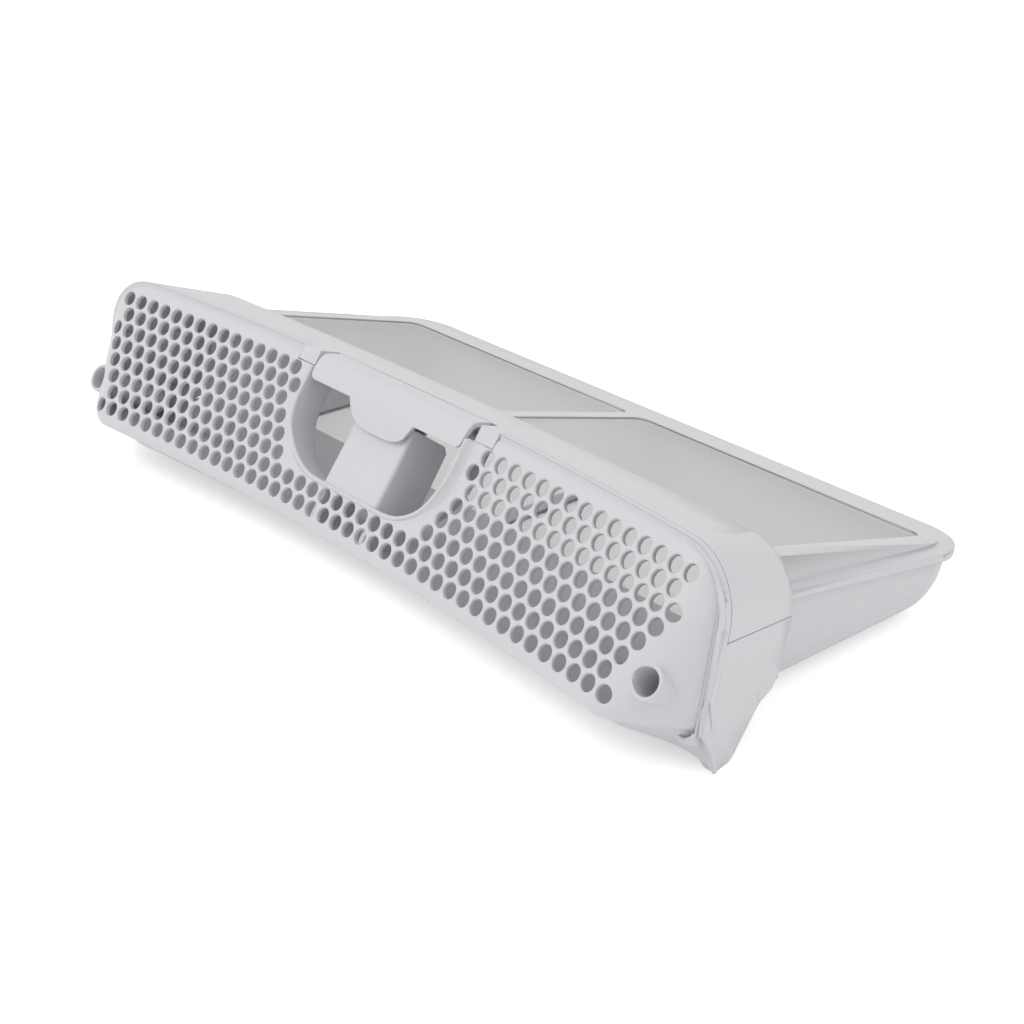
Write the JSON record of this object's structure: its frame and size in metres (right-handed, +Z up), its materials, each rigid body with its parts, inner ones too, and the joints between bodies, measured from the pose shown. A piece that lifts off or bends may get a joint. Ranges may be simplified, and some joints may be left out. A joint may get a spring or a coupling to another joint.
{
  "type": "tumble dryer lint filter",
  "caption": "Wedge-shaped lint filter with a bowed perforated front grille, finger recess with grip bar and latch flap, and a hinged mesh case behind.",
  "frame": {"origin": "centre of the footprint on the resting surface", "axes": "+X along the width, +Y from the perforated front to the hinged nose, +Z up"},
  "size_m": [0.376, 0.1974, 0.0777],
  "materials": {
    "white_plastic": "fine matt moulded",
    "filter_mesh": "fine woven polyester mesh",
    "steel": "plain drawn wire"
  },
  "bodies": {
    "case": {"front_grille": "white_plastic", "lower_shell": "white_plastic", "lower_mesh_left": "filter_mesh", "lower_mesh_right": "filter_mesh", "grille_screw_left": "steel", "grille_screw_right": "steel", "hinge_pin_left": "steel", "hinge_pin_right": "steel"},
    "lid": {"upper_frame": "white_plastic", "upper_mesh_left": "filter_mesh", "upper_mesh_right": "filter_mesh", "latch_pin_left": "steel", "latch_pin_right": "steel"},
    "flap": {"latch_flap": "white_plastic"}
  },
  "joints": [
    {"name": "lid_hinge", "type": "hinge", "parent": "case", "child": "lid", "pos_m": [0, 0.09558, 0.01963], "axis": [-1, 0, 0], "range_deg": [0, 90]},
    {"name": "latch_pivot", "type": "hinge", "parent": "lid", "child": "flap", "pos_m": [0, -0.04786, 0.06977], "axis": [-1, 0, 0], "range_deg": [0, 8], "stiffness_Nm_per_rad": 0.05}
  ]
}
